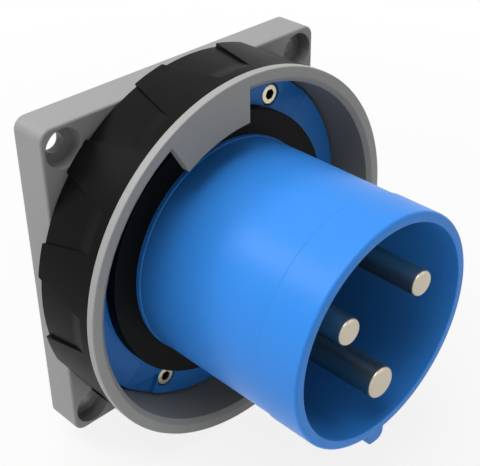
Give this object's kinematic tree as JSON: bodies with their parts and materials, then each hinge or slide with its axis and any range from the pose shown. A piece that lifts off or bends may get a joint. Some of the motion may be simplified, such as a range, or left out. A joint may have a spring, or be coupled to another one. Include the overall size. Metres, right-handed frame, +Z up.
{
  "type": "pin and sleeve inlet",
  "caption": "Square flanged panel power inlet: blue sleeve round three plated pins, face gasket, and a black bayonet locking ring that turns on the grey housing.",
  "frame": {"origin": "middle of the flange's back face, on the axis of the sleeve", "axes": "-Y along the sleeve out of the panel, +Z up with the key at the bottom, +X to the right seen from the front"},
  "size_m": [0.1182, 0.1139, 0.1182],
  "materials": {
    "grey_moulding": "satin moulded polyamide, pale grey",
    "black_moulding": "matt black moulded polyamide",
    "blue_moulding": "semi-gloss blue moulded polyamide",
    "carrier_moulding": "matt dark thermoset",
    "rubber_seal": "matt black rubber",
    "plated_contact": "nickel plated brass",
    "brass": "plain turned brass",
    "plated_screw": "yellow zinc plated steel"
  },
  "bodies": {
    "housing": {"flange_housing": "grey_moulding", "flange_seal": "rubber_seal", "sleeve_insert": "blue_moulding", "insert_o_ring": "rubber_seal", "face_gasket": "rubber_seal", "insert_screws": "plated_screw", "screw_bushes": "brass", "contact_carrier": "carrier_moulding", "pin_plate": "carrier_moulding", "carrier_screws": "plated_screw", "line_pin": "plated_contact", "neutral_pin": "plated_contact", "earth_pin": "plated_contact", "line_pressure_pad": "brass", "neutral_pressure_pad": "brass", "earth_pressure_pad": "brass", "terminal_screws": "plated_screw", "line_pin_o_rings": "rubber_seal", "earth_pin_o_ring": "rubber_seal"},
    "bayonet_ring": {"locking_ring": "black_moulding", "ring_bezel": "grey_moulding"}
  },
  "joints": [
    {"name": "ring_turn", "type": "hinge", "parent": "housing", "child": "bayonet_ring", "pos_m": [0, -0.02, 0], "axis": [0, 1, 0], "range_deg": [0, 38]}
  ]
}
